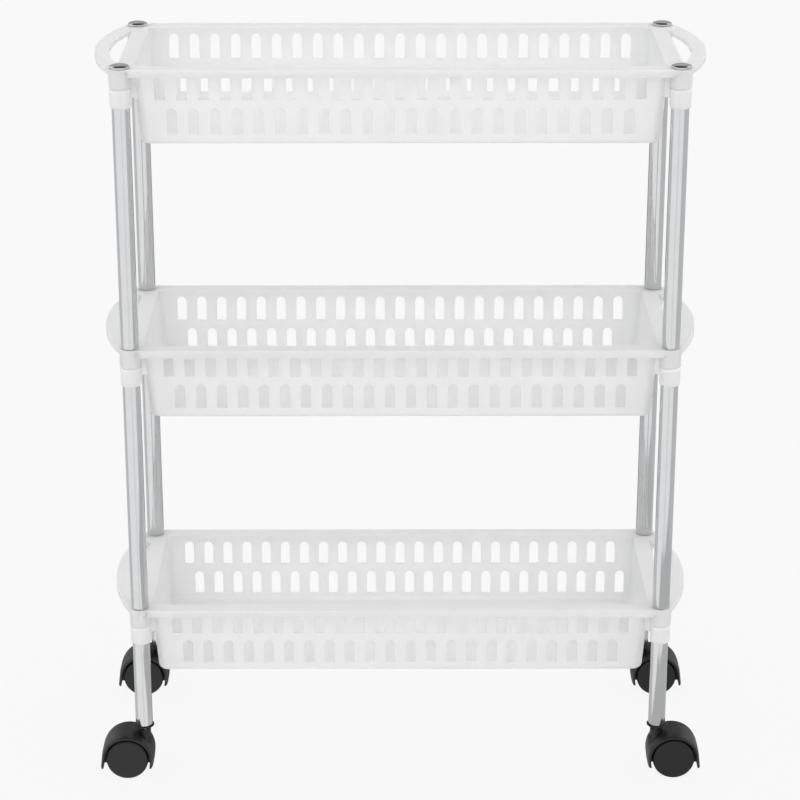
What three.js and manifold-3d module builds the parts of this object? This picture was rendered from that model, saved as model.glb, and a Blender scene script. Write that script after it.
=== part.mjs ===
// Three-tier slim rolling utility cart: moulded baskets with ear handles, plug-together tube
// posts, connector collars, domed post caps and twin-wheel hooded casters.
// Millimetres, +Z up, +X along the cart, +Y towards its back. The origin is on the floor, under
// the middle of the cart.
import * as THREE from 'three';
import { mergeGeometries, mergeVertices } from 'three/addons/utils/BufferGeometryUtils.js';
import Module from 'manifold-3d';

const wasm = await Module();
wasm.setup();

// ---- overall layout ----
const POST_SPACING_X = 485;      // between post axes, along the cart
const POST_SPACING_Y = 173;      // between post axes, front to back
const LOWER_RIM_Z = 171;         // top face of the lower basket's rim
const TIER_PITCH = 255.5;        // from one basket's rim to the next
const FIT_GAP = 0.3;             // between faces that touch on the real cart

// ---- posts ----
const TUBE_RADIUS = 8;
const TUBE_WALL = 1.2;
const SPIGOT_WALL = 2.5;         // collar spigot that joins two tubes through the basket
const SPIGOT_ABOVE_RIM = 14;     // how far a spigot stands up into the tube above it
const COLLAR_WALL = 1.1;
const COLLAR_HEIGHT = 17.7;
const COLLAR_WEB = 3;            // disc between the collar's sleeve and its spigot
const COLLAR_CHAMFER = 2.2;      // at the collar's lower edge
const COLLAR_SHOULDER = 2;       // at its upper edge
const CAP_OVERHANG = 0.9;        // how far a cap's head reaches past the tube
const CAP_DOME = 3;
const CAP_EDGE = 1.8;            // upright edge under the cap's dome
const CAP_PLUG_LENGTH = 17;

// ---- baskets ----
const WALL = 2;
const TUB_DEPTH = 70;
const TUB_CORNER_RADIUS = 10;
const TUB_END_INSET = 9.5;       // post axis to the outside of the tub's end wall, at the rim
const TUB_SIDE_INSET = 3.5;      // post axis to the outside of the tub's long wall, at the rim
const TUB_END_DRAFT = 5;         // how far each end wall leans in over the tub's depth
const TUB_SIDE_DRAFT = 5;        // the same for the long walls
const TUB_FOOT_HEIGHT = 4;       // rounding between the walls and the floor
const TUB_FOOT_INSET = 3;
const SOCKET_WALL = 2.9;
const SOCKET_DEPTH = 17;
const SOCKET_PROUD = 0.6;        // how far the sockets stand out past the rim's long edges
const RIM_SKIRT = 7;             // how far the rim's long edges turn down
const EAR_REACH = 19.7;          // how far the ear handle reaches past the sockets
const EAR_BAND = 12.5;           // width of the ear handle's grip
const EAR_SKIRT = 5;
const EAR_HOLE_FROM_POST = 3;    // post axis to the straight side of the finger hole
const EAR_HOLE_TO_POST = 20.5;   // end of the finger hole to the post axis, front to back
const RIB_THICKNESS = 2;         // gusset between a socket and the tub's corner
const RIB_BELOW_SOCKET = 11;     // how far the gusset reaches down past the socket

// ---- slots in the long walls ----
const SLOT_WIDTH = 9;
const SLOT_PITCH = 19;
const SLOT_FROM_RIM = 6.5;       // rim to the tops of the upper slots
const SLOT_ROW_GAP = 8;          // between the two rows
const SLOT_ABOVE_FOOT = 9.5;     // underside of the tub to the feet of the lower slots
const SLOT_END_MARGIN = 18;      // least distance from a slot's centre to the tub's end wall
const SLOT_ARC_STEPS = 3;

// ---- casters ----
const WHEEL_RADIUS = 19.7;
const WHEEL_WIDTH = 12;
const WHEEL_EDGE = 1.6;
const WHEEL_FACE = 1.5;          // closed face over the end of the axle
const CASTER_TRAIL = 15.8;       // stem axis to axle axis
const WEB_WALL = 1.4;            // beside the stem's hole, in the web between the twin wheels
const WHEEL_SIDE_GAP = 0.5;
const HOOD_GAP = 1.8;            // wheel tread to the inside of the hood
const HOOD_WALL = 3.1;           // at the middle of the hood
const HOOD_CROWN = 1.9;          // how much the hood thins towards its two faces
const HOOD_CROWN_WIDTH = 8;
const HOOD_ABOVE_FLOOR = 11;
const HOOD_TILT = 7 * Math.PI / 180;
const NECK_WALL = 1.9;           // round the stem's hole
const NECK_FOOT_WALL = 4.1;      // the same, at the neck's wider foot
const NECK_FLARE = 5.5;          // height over which the neck widens to its foot
const NECK_STRAIGHT = 6.5;       // height of the neck above its flare
const NECK_RISE = 1.7;           // top of the neck over the top of the hood
const AXLE_RADIUS = 2.5;
const STEM_RADIUS = 3.8;
const STEM_FLANGE_INSET = 0.6;   // the stem's flange is this much smaller than the neck
const STEM_SHOWING = 2.7;        // top of the neck to the underside of the plug
const STEM_IN_NECK = 12;
const STEM_IN_PLUG = 21;
const GRIP_RING_PROUD = 0.7;     // how far the ring stands out of the stem
const GRIP_RING_HEIGHT = 1.6;
const GRIP_GROOVE_DEPTH = 0.9;
const GRIP_RING_BELOW_TOP = 5;
const PLUG_OVERHANG = 1.4;       // how far the plug's flange reaches past the tube
const PLUG_FLANGE = 1;
const PLUG_LENGTH = 24;

// ---- mesh fineness ----
const ROUND_SEGMENTS = 12;       // posts and everything that fits on them
const WHEEL_SEGMENTS = 16;
const RIM_SEGMENTS = 6;          // along an ear
const SOCKET_SEGMENTS = 4;       // where the rim's edge runs round a socket
const CORNER_SEGMENTS = 3;       // per corner of the tub
const HOOD_SEGMENTS = 10;
const SAME_POINT = 1e-3;         // points nearer than this are one

// ---- sizes worked out from the ones above ----
const POST_X = POST_SPACING_X / 2;
const POST_Y = POST_SPACING_Y / 2;
const TIERS = [
  { name: 'lower', rimZ: LOWER_RIM_Z },
  { name: 'middle', rimZ: LOWER_RIM_Z + TIER_PITCH },
  { name: 'upper', rimZ: LOWER_RIM_Z + 2 * TIER_PITCH },
];
const CORNERS = [
  { name: 'front_left', x: -POST_X, y: -POST_Y },
  { name: 'front_right', x: POST_X, y: -POST_Y },
  { name: 'back_left', x: -POST_X, y: POST_Y },
  { name: 'back_right', x: POST_X, y: POST_Y },
];
const TUBE_BORE = TUBE_RADIUS - TUBE_WALL;
const SPIGOT_RADIUS = TUBE_BORE - FIT_GAP;
const SPIGOT_BORE = SPIGOT_RADIUS - SPIGOT_WALL;
const SOCKET_BORE = SPIGOT_RADIUS + FIT_GAP;
const SOCKET_RADIUS = SOCKET_BORE + SOCKET_WALL;
const COLLAR_BORE = TUBE_RADIUS + FIT_GAP;
const COLLAR_RADIUS = COLLAR_BORE + COLLAR_WALL;
const CAP_RADIUS = TUBE_RADIUS + CAP_OVERHANG;
const RIM_BEYOND_POST = SOCKET_RADIUS - SOCKET_PROUD;
const RIB_DEPTH = SOCKET_DEPTH + RIB_BELOW_SOCKET;
const EAR_BEYOND_POST = SOCKET_RADIUS + EAR_REACH;
const COLLAR_TOP = -SOCKET_DEPTH - FIT_GAP;                  // measured from the rim
const TUBE_TOP = COLLAR_TOP - COLLAR_WEB - FIT_GAP;
const TUB_HALF_X = POST_X - TUB_END_INSET;
const TUB_HALF_Y = POST_Y - TUB_SIDE_INSET;
const RIM_HALF_Y = POST_Y + RIM_BEYOND_POST;
const SLOT_HEIGHT = (TUB_DEPTH - SLOT_FROM_RIM - SLOT_ROW_GAP - SLOT_ABOVE_FOOT) / 2;
const SLOT_ROW_TOPS = [SLOT_FROM_RIM, SLOT_FROM_RIM + SLOT_HEIGHT + SLOT_ROW_GAP];
const AXLE_Z = WHEEL_RADIUS;
const STEM_HOLE_RADIUS = STEM_RADIUS + FIT_GAP;
const WEB_HALF = STEM_HOLE_RADIUS + WEB_WALL;
const NECK_RADIUS = STEM_HOLE_RADIUS + NECK_WALL;
const NECK_FOOT_RADIUS = STEM_HOLE_RADIUS + NECK_FOOT_WALL;
const STEM_FLANGE_RADIUS = NECK_RADIUS - STEM_FLANGE_INSET;
const WHEEL_INNER_Y = WEB_HALF + WHEEL_SIDE_GAP;
const WHEEL_OUTER_Y = WHEEL_INNER_Y + WHEEL_WIDTH;
const HOOD_INNER = WHEEL_RADIUS + HOOD_GAP;
const HOOD_OUTER = HOOD_INNER + HOOD_WALL;
const NECK_TOP_Z = AXLE_Z + HOOD_OUTER + NECK_RISE;
const AXLE_HALF = WHEEL_OUTER_Y - WHEEL_FACE - FIT_GAP;
const PLUG_LOW = NECK_TOP_Z + STEM_SHOWING;
const PLUG_TOP_FACE = PLUG_LOW + PLUG_FLANGE;
const LEG_LOW = PLUG_TOP_FACE + FIT_GAP;
const PLUG_FLANGE_RADIUS = TUBE_RADIUS + PLUG_OVERHANG;
const STEM_TOP_Z = PLUG_TOP_FACE + STEM_IN_PLUG;
const GRIP_RING_Z = STEM_TOP_Z - GRIP_RING_BELOW_TOP;
const GRIP_RING_RADIUS = STEM_RADIUS + GRIP_RING_PROUD;
const GRIP_RING_BORE = STEM_RADIUS - GRIP_GROOVE_DEPTH + FIT_GAP;

// The ear's outer edge is the arc through its outermost point that runs smoothly into the
// sockets at both ends, so its radius follows from the post spacing and the ear's reach.
const EAR_RADIUS = (SOCKET_RADIUS ** 2 - EAR_BEYOND_POST ** 2 - POST_Y ** 2)
  / (2 * (SOCKET_RADIUS - EAR_BEYOND_POST));
const EAR_CENTRE_X = POST_X + EAR_BEYOND_POST - EAR_RADIUS;
const EAR_ANGLE = Math.atan2(POST_Y, POST_X - EAR_CENTRE_X);

// ---- materials ----
const frostedPlastic = new THREE.MeshStandardMaterial({ color: 0xe6e6e4, roughness: 0.45 });
const clearPlastic = new THREE.MeshStandardMaterial({ color: 0xe0e0de, roughness: 0.4 });
const chromeTube = new THREE.MeshStandardMaterial({ color: 0xc4c6c8, roughness: 0.16, metalness: 1 });
const chromeCap = new THREE.MeshStandardMaterial({ color: 0xa8aaac, roughness: 0.08, metalness: 1 });
const blackPlastic = new THREE.MeshStandardMaterial({ color: 0x262626, roughness: 0.45 });
const wheelPlastic = new THREE.MeshStandardMaterial({ color: 0x2e2e2e, roughness: 0.5 });
const zincSteel = new THREE.MeshStandardMaterial({ color: 0x8d9092, roughness: 0.3, metalness: 1 });

// ---- solids and booleans ----
function toSolid(geometry) {
  const bare = geometry.index ? geometry.toNonIndexed() : geometry.clone();
  bare.deleteAttribute('normal');
  bare.deleteAttribute('uv');
  const merged = mergeVertices(bare, 1e-4);
  const corners = merged.index.array;
  const triangles = [];
  for (let i = 0; i < corners.length; i += 3) {
    const [a, b, c] = corners.slice(i, i + 3);
    if (a !== b && b !== c && c !== a) {
      triangles.push(a, b, c);
    }
  }
  return new wasm.Manifold(new wasm.Mesh({
    numProp: 3,
    vertProperties: new Float32Array(merged.attributes.position.array),
    triVerts: new Uint32Array(triangles),
  }));
}

function toGeometry(solid) {
  const mesh = solid.getMesh();
  const geometry = new THREE.BufferGeometry();
  geometry.setAttribute('position', new THREE.BufferAttribute(mesh.vertProperties, 3));
  geometry.setIndex(new THREE.BufferAttribute(mesh.triVerts, 1));
  geometry.computeVertexNormals();
  return geometry;
}

// A solid of revolution about Z from [radius, z] pairs. A hollow ring's profile closes on
// itself, and any other starts and ends on the axis.
function turned(profile, segments = ROUND_SEGMENTS) {
  const points = profile.map(([radius, z]) => new THREE.Vector2(radius, z));
  const geometry = new THREE.LatheGeometry(points, segments);
  geometry.rotateX(Math.PI / 2);
  return geometry;
}

function turnedRing(profile, segments) {
  return turned([...profile, profile[0]], segments);
}

// Outlines are lists of points in X and Y. This joins arcs and corner points into one, without
// the points that two neighbours share.
function outlineOf(...pieces) {
  const points = [];
  for (const point of pieces.flat()) {
    const repeats = points.some((earlier) => earlier.distanceTo(point) < SAME_POINT);
    if (!repeats) {
      points.push(point);
    }
  }
  return points;
}

function arc(x, y, radius, from, to, steps) {
  return new THREE.ArcCurve(x, y, radius, from, to, to < from).getPoints(steps);
}

function point(x, y) {
  return new THREE.Vector2(x, y);
}

// A flat outline in X and Y, made into a plate between two heights.
function plate(outline, lowZ, highZ) {
  const options = { depth: highZ - lowZ, bevelEnabled: false };
  const geometry = new THREE.ExtrudeGeometry(new THREE.Shape(outline), options);
  geometry.translate(0, 0, lowZ);
  return geometry;
}

// ---- baskets: measured from the middle of the rim's top face ----
function roundedRectangle(halfX, halfY, radius) {
  const turn = Math.PI / 2;
  return outlineOf(
    arc(halfX - radius, halfY - radius, radius, 0, turn, CORNER_SEGMENTS),
    arc(radius - halfX, halfY - radius, radius, turn, 2 * turn, CORNER_SEGMENTS),
    arc(radius - halfX, radius - halfY, radius, 2 * turn, 3 * turn, CORNER_SEGMENTS),
    arc(halfX - radius, radius - halfY, radius, 3 * turn, 4 * turn, CORNER_SEGMENTS),
  );
}

// The tub's shape with its walls and floor set in by one thickness. The walls lean in towards
// the floor and turn in once more at its foot; the top stands a little above the rim if asked.
function tubForm(inset, above) {
  const outline = roundedRectangle(TUB_HALF_X - inset, TUB_HALF_Y - inset, TUB_CORNER_RADIUS - inset);
  const floorZ = inset - TUB_DEPTH;
  const levels = [
    { z: floorZ, foot: TUB_FOOT_INSET },
    { z: floorZ + TUB_FOOT_HEIGHT, foot: 0 },
    { z: above, foot: 0 },
  ];
  const steps = levels.length - 1;
  const geometry = new THREE.ExtrudeGeometry(new THREE.Shape(outline), {
    depth: steps,
    steps,
    bevelEnabled: false,
  });
  const position = geometry.attributes.position;
  for (let i = 0; i < position.count; i += 1) {
    const level = levels[Math.round(position.getZ(i))];
    const lean = -level.z / TUB_DEPTH;
    const moveX = lean * TUB_END_DRAFT + level.foot;
    const moveY = lean * TUB_SIDE_DRAFT + level.foot;
    position.setX(i, position.getX(i) - Math.sign(position.getX(i)) * moveX);
    position.setY(i, position.getY(i) - Math.sign(position.getY(i)) * moveY);
    position.setZ(i, level.z);
  }
  return geometry;
}

// The rim's outer edge: straight long sides, an arc round each socket and an arc at each ear.
function rimOutline(inset) {
  const socket = SOCKET_RADIUS - inset;
  const ear = EAR_RADIUS - inset;
  const meet = Math.asin((RIM_BEYOND_POST - inset) / socket);
  const turn = Math.PI;
  return outlineOf(
    arc(EAR_CENTRE_X, 0, ear, -EAR_ANGLE, EAR_ANGLE, RIM_SEGMENTS),
    arc(POST_X, POST_Y, socket, EAR_ANGLE, turn - meet, SOCKET_SEGMENTS),
    arc(-POST_X, POST_Y, socket, meet, turn - EAR_ANGLE, SOCKET_SEGMENTS),
    arc(-EAR_CENTRE_X, 0, ear, turn - EAR_ANGLE, turn + EAR_ANGLE, RIM_SEGMENTS),
    arc(-POST_X, -POST_Y, socket, turn + EAR_ANGLE, 2 * turn - meet, SOCKET_SEGMENTS),
    arc(POST_X, -POST_Y, socket, turn + meet, 2 * turn - EAR_ANGLE, SOCKET_SEGMENTS),
  );
}

// The finger hole of one ear, or the same outline grown for the lip round it.
function earHole(side, grow) {
  const radius = EAR_RADIUS - EAR_BAND + grow;
  const straightX = POST_X + EAR_HOLE_FROM_POST - grow;
  const endY = POST_Y - EAR_HOLE_TO_POST + grow;
  const angle = Math.asin(endY / radius);
  const middle = side > 0 ? 0 : Math.PI;
  return outlineOf(
    arc(side * EAR_CENTRE_X, 0, radius, middle - angle, middle + angle, RIM_SEGMENTS),
    point(side * straightX, side * endY),
    point(side * straightX, -side * endY),
  );
}

// A slot with a round top and a flat foot. Its top is at Y = 0.
function slotOutline() {
  const half = SLOT_WIDTH / 2;
  return outlineOf(
    arc(0, -half, half, 0, Math.PI, SLOT_ARC_STEPS),
    point(-half, -SLOT_HEIGHT),
    point(half, -SLOT_HEIGHT),
  );
}

// Slot centres of one row. Every second row is set over by half a pitch.
function slotCentres(row) {
  const reach = TUB_HALF_X - SLOT_END_MARGIN;
  const shift = row % 2 === 0 ? 0 : 0.5;
  const last = Math.floor(reach / SLOT_PITCH + shift) - shift;
  const centres = [];
  for (let step = -last; step <= last; step += 1) {
    centres.push(step * SLOT_PITCH);
  }
  return centres;
}

// Cutters for the slots of one long wall; side is +1 for the back wall and -1 for the front.
function slotCutters(side, hasEndSlot) {
  const nearY = TUB_HALF_Y - TUB_SIDE_DRAFT - 2 * WALL;
  const farY = RIM_HALF_Y - WALL - FIT_GAP;
  const cutters = [];
  SLOT_ROW_TOPS.forEach((top, row) => {
    const centres = slotCentres(row);
    if (hasEndSlot && row === SLOT_ROW_TOPS.length - 1) {
      centres.push(centres.at(-1) + SLOT_PITCH);
    }
    for (const x of centres) {
      const cutter = plate(slotOutline(), nearY, farY);
      cutter.rotateX(Math.PI / 2);
      cutter.translate(x, side > 0 ? nearY + farY : 0, -top);
      cutters.push(cutter);
    }
  });
  return toSolid(mergeGeometries(cutters));
}

// A box between two heights, or the solid of a full round between them.
function block(sizeX, sizeY, lowZ, highZ) {
  const geometry = new THREE.BoxGeometry(sizeX, sizeY, highZ - lowZ);
  geometry.translate(0, 0, (lowZ + highZ) / 2);
  return geometry;
}

function rod(radius, lowZ, highZ) {
  return turned([[0, lowZ], [radius, lowZ], [radius, highZ], [0, highZ]]);
}

function makeBasket(hasEndSlot) {
  const solids = [tubForm(0, 0)];
  const hollows = [tubForm(WALL, FIT_GAP)];
  for (const side of [1, -1]) {
    solids.push(plate(earHole(side, WALL), -EAR_SKIRT, 0));
    const edge = block(POST_SPACING_X - 2 * SOCKET_BORE, WALL, -RIM_SKIRT, 0);
    solids.push(edge.translate(0, side * (RIM_HALF_Y - WALL / 2), 0));
    hollows.push(plate(earHole(side, 0), -2 * EAR_SKIRT, EAR_SKIRT));
  }
  for (const corner of CORNERS) {
    solids.push(rod(SOCKET_RADIUS, -SOCKET_DEPTH, 0).translate(corner.x, corner.y, 0));
    solids.push(cornerRib(corner, SOCKET_DEPTH, SOCKET_BORE));
    solids.push(cornerRib(corner, RIB_DEPTH, COLLAR_RADIUS + 2 * FIT_GAP));
    hollows.push(rod(SOCKET_BORE, -2 * SOCKET_DEPTH, SOCKET_DEPTH).translate(corner.x, corner.y, 0));
  }
  let basket = toSolid(plate(rimOutline(0), -EAR_SKIRT, 0));
  basket = basket.subtract(toSolid(plate(rimOutline(WALL), -2 * EAR_SKIRT, -WALL)));
  for (const solid of solids) {
    basket = basket.add(toSolid(solid));
  }
  for (const hollow of hollows) {
    basket = basket.subtract(toSolid(hollow));
  }
  basket = basket.subtract(slotCutters(1, hasEndSlot));
  basket = basket.subtract(slotCutters(-1, false));
  return toGeometry(basket);
}

// Upright gusset from the tub's rounded corner towards the post, stopping short of its axis.
function cornerRib(corner, depth, endFromPost) {
  const cornerX = TUB_HALF_X - TUB_CORNER_RADIUS;
  const cornerY = TUB_HALF_Y - TUB_CORNER_RADIUS;
  const runX = POST_X - cornerX;
  const runY = POST_Y - cornerY;
  const start = TUB_CORNER_RADIUS - WALL / 2 - TUB_END_DRAFT * depth / TUB_DEPTH;
  const length = Math.hypot(runX, runY) - endFromPost - start;
  const rib = new THREE.BoxGeometry(length, RIB_THICKNESS, depth);
  rib.translate(start + length / 2, 0, -depth / 2);
  rib.rotateZ(Math.atan2(runY * Math.sign(corner.y), runX * Math.sign(corner.x)));
  rib.translate(Math.sign(corner.x) * cornerX, Math.sign(corner.y) * cornerY, 0);
  return rib;
}

// ---- posts ----
function makeTube(lowZ, highZ) {
  return turnedRing([[TUBE_BORE, lowZ], [TUBE_RADIUS, lowZ], [TUBE_RADIUS, highZ], [TUBE_BORE, highZ]]);
}

// Collar under a socket: a sleeve over the tube below and a hollow spigot up through the socket.
function makeCollar(spigotTop) {
  const low = COLLAR_TOP - COLLAR_HEIGHT;
  return turnedRing([
    [COLLAR_BORE, low],
    [COLLAR_RADIUS - COLLAR_WALL / 2, low],
    [COLLAR_RADIUS, low + COLLAR_CHAMFER],
    [COLLAR_RADIUS, COLLAR_TOP - COLLAR_SHOULDER],
    [COLLAR_RADIUS - COLLAR_SHOULDER, COLLAR_TOP],
    [SPIGOT_RADIUS, COLLAR_TOP],
    [SPIGOT_RADIUS, spigotTop],
    [SPIGOT_BORE, spigotTop],
    [SPIGOT_BORE, COLLAR_TOP - COLLAR_WEB],
    [COLLAR_BORE, COLLAR_TOP - COLLAR_WEB],
  ]);
}

// Mushroom cap that closes the top of a post: a dome on a plug.
function makeCap() {
  const plug = SPIGOT_BORE - FIT_GAP;
  return turned([
    [0, FIT_GAP - CAP_PLUG_LENGTH],
    [plug, FIT_GAP - CAP_PLUG_LENGTH],
    [plug, FIT_GAP],
    [CAP_RADIUS, FIT_GAP],
    [CAP_RADIUS, FIT_GAP + CAP_EDGE],
    [CAP_RADIUS * Math.SQRT1_2, FIT_GAP + CAP_EDGE + (CAP_DOME - CAP_EDGE) * 0.6],
    [0, FIT_GAP + CAP_DOME],
  ]);
}

// ---- caster pieces on the post axis ----
function makePlug() {
  const high = PLUG_TOP_FACE + PLUG_LENGTH;
  const grooveLow = GRIP_RING_Z - FIT_GAP;
  const grooveHigh = GRIP_RING_Z + GRIP_RING_HEIGHT + FIT_GAP;
  return turnedRing([
    [STEM_HOLE_RADIUS, PLUG_LOW],
    [PLUG_FLANGE_RADIUS, PLUG_LOW],
    [PLUG_FLANGE_RADIUS, PLUG_TOP_FACE],
    [SPIGOT_RADIUS, PLUG_TOP_FACE],
    [SPIGOT_RADIUS, high],
    [STEM_HOLE_RADIUS, high],
    [STEM_HOLE_RADIUS, grooveHigh],
    [GRIP_RING_RADIUS + FIT_GAP, grooveHigh],
    [GRIP_RING_RADIUS + FIT_GAP, grooveLow],
    [STEM_HOLE_RADIUS, grooveLow],
  ]);
}

function makeStem() {
  const flangeLow = NECK_TOP_Z + FIT_GAP;
  const flangeHigh = PLUG_LOW - FIT_GAP;
  const groove = STEM_RADIUS - GRIP_GROOVE_DEPTH;
  const grooveLow = GRIP_RING_Z - FIT_GAP;
  const grooveHigh = GRIP_RING_Z + GRIP_RING_HEIGHT + FIT_GAP;
  return turned([
    [0, NECK_TOP_Z - STEM_IN_NECK],
    [STEM_RADIUS, NECK_TOP_Z - STEM_IN_NECK],
    [STEM_RADIUS, flangeLow],
    [STEM_FLANGE_RADIUS, flangeLow],
    [STEM_FLANGE_RADIUS, flangeHigh],
    [STEM_RADIUS, flangeHigh],
    [STEM_RADIUS, grooveLow],
    [groove, grooveLow],
    [groove, grooveHigh],
    [STEM_RADIUS, grooveHigh],
    [STEM_RADIUS, STEM_TOP_Z],
    [0, STEM_TOP_Z],
  ]);
}

// Split spring ring in the stem's groove, open over a quarter turn.
function makeGripRing() {
  const steps = ROUND_SEGMENTS * 3 / 4;
  const start = Math.PI / 4;
  const end = 1.75 * Math.PI;
  const outline = outlineOf(
    arc(0, 0, GRIP_RING_RADIUS, start, end, steps),
    arc(0, 0, GRIP_RING_BORE, end, start, steps),
  );
  return plate(outline, GRIP_RING_Z, GRIP_RING_Z + GRIP_RING_HEIGHT);
}

// ---- caster pieces on the axle, measured from its middle, with the stem towards -X ----
// A half round with straight sides that go down past the axle.
function archOutline(radius, drop) {
  return outlineOf(
    arc(0, 0, radius, 0, Math.PI, HOOD_SEGMENTS),
    point(-radius, -drop),
    point(radius, -drop),
  );
}

// Turns an outline drawn in X and Y so that it stands in X and Z, between two places along Y.
function standing(outline, lowY, highY, bevel) {
  const options = { depth: highY - lowY, bevelEnabled: false, ...bevel };
  const geometry = new THREE.ExtrudeGeometry(new THREE.Shape(outline), options);
  geometry.rotateX(Math.PI / 2);
  geometry.translate(0, highY, 0);
  return geometry;
}

function makeHood() {
  const flatHalf = WHEEL_OUTER_Y - HOOD_CROWN_WIDTH;
  const shell = standing(archOutline(HOOD_OUTER, AXLE_Z), -flatHalf, flatHalf, {
    bevelEnabled: true,
    bevelThickness: HOOD_CROWN_WIDTH,
    bevelSize: HOOD_CROWN,
    bevelOffset: -HOOD_CROWN,
    bevelSegments: 2,
  });
  shell.rotateY(-HOOD_TILT);
  const neckTop = NECK_TOP_Z - AXLE_Z;
  const flareTop = neckTop - NECK_STRAIGHT;
  const neck = turned([
    [0, 0],
    [NECK_FOOT_RADIUS, 0],
    [NECK_FOOT_RADIUS, flareTop - NECK_FLARE],
    [NECK_RADIUS, flareTop],
    [NECK_RADIUS, neckTop],
    [0, neckTop],
  ]).translate(-CASTER_TRAIL, 0, 0);
  let hood = toSolid(shell).add(toSolid(neck));

  for (const side of [1, -1]) {
    const near = side > 0 ? WEB_HALF : -2 * WHEEL_OUTER_Y;
    const far = side > 0 ? 2 * WHEEL_OUTER_Y : -WEB_HALF;
    const pocket = standing(archOutline(HOOD_INNER, 2 * AXLE_Z), near, far);
    pocket.rotateY(-HOOD_TILT);
    hood = hood.subtract(toSolid(pocket));
  }
  const below = block(4 * HOOD_OUTER, 4 * WHEEL_OUTER_Y, -2 * HOOD_OUTER, HOOD_ABOVE_FLOOR - AXLE_Z);
  const stemHole = rod(STEM_HOLE_RADIUS, neckTop - STEM_IN_NECK - FIT_GAP, neckTop + FIT_GAP);
  stemHole.translate(-CASTER_TRAIL, 0, 0);
  const axleBore = AXLE_RADIUS + FIT_GAP;
  const axleHole = new THREE.CylinderGeometry(axleBore, axleBore, 4 * WEB_HALF, ROUND_SEGMENTS);
  for (const hollow of [below, stemHole, axleHole]) {
    hood = hood.subtract(toSolid(hollow));
  }
  return toGeometry(hood);
}

function makeAxle() {
  return new THREE.CylinderGeometry(AXLE_RADIUS, AXLE_RADIUS, 2 * AXLE_HALF, ROUND_SEGMENTS);
}

// Solid wheel with a blind bore, its face towards +Y. It stands on one of its flats, so the
// flats lie at the wheel's radius and the edges between them a little outside it.
function makeWheel() {
  const halfStep = Math.PI / WHEEL_SEGMENTS;
  const tread = WHEEL_RADIUS / Math.cos(halfStep);
  const bore = AXLE_RADIUS + FIT_GAP;
  const boreEnd = WHEEL_OUTER_Y - WHEEL_FACE;
  const geometry = turned([
    [0, boreEnd],
    [bore, boreEnd],
    [bore, WHEEL_INNER_Y],
    [tread, WHEEL_INNER_Y],
    [tread, WHEEL_OUTER_Y - WHEEL_EDGE],
    [tread - WHEEL_EDGE, WHEEL_OUTER_Y],
    [0, WHEEL_OUTER_Y],
  ], WHEEL_SEGMENTS);
  geometry.rotateZ(halfStep);
  geometry.rotateX(-Math.PI / 2);
  return geometry;
}

// ---- assembly ----
const cart = new THREE.Group();

function place(parent, name, geometry, material, x = 0, y = 0, z = 0) {
  const mesh = new THREE.Mesh(geometry, material);
  mesh.name = name;
  mesh.position.set(x, y, z);
  parent.add(mesh);
  return mesh;
}

for (const tier of TIERS) {
  const hasEndSlot = tier.name === 'lower';
  place(cart, `basket_${tier.name}`, makeBasket(hasEndSlot), frostedPlastic, 0, 0, tier.rimZ);
}

for (const corner of CORNERS) {
  const { x, y } = corner;
  TIERS.forEach((tier, index) => {
    const tubeLow = index === 0 ? LEG_LOW : TIERS[index - 1].rimZ + FIT_GAP;
    const tubeName = index === 0 ? 'leg_tube' : `post_tube_${tier.name}`;
    const tube = makeTube(tubeLow, tier.rimZ + TUBE_TOP);
    place(cart, `${tubeName}_${corner.name}`, tube, chromeTube, x, y);
    const spigotTop = index === TIERS.length - 1 ? 0 : SPIGOT_ABOVE_RIM;
    place(cart, `collar_${tier.name}_${corner.name}`, makeCollar(spigotTop), clearPlastic, x, y, tier.rimZ);
  });
  place(cart, `post_cap_${corner.name}`, makeCap(), chromeCap, x, y, TIERS.at(-1).rimZ);
  place(cart, `caster_plug_${corner.name}`, makePlug(), blackPlastic, x, y);
  place(cart, `caster_stem_${corner.name}`, makeStem(), zincSteel, x, y);
  place(cart, `grip_ring_${corner.name}`, makeGripRing(), zincSteel, x, y);

  const caster = new THREE.Group();
  caster.position.set(x + Math.sign(x) * CASTER_TRAIL, y, AXLE_Z);
  caster.rotation.z = x > 0 ? 0 : Math.PI;
  cart.add(caster);
  place(caster, `caster_hood_${corner.name}`, makeHood(), blackPlastic);
  place(caster, `axle_${corner.name}`, makeAxle(), zincSteel);
  const frontWheel = place(caster, `wheel_${corner.name}_front`, makeWheel(), wheelPlastic);
  const backWheel = place(caster, `wheel_${corner.name}_back`, makeWheel(), wheelPlastic);
  const turnedWheel = x > 0 ? frontWheel : backWheel;
  turnedWheel.rotation.z = Math.PI;
}

export default cart;
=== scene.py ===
# Three-tier slim rolling utility cart: frosted slotted baskets with ear handles, chrome tube
# posts and hooded swivel casters. Metres, +Z up, +X along the cart, +Y towards its back.
import math

import bmesh
import bpy
from mathutils import Matrix, Vector


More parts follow.
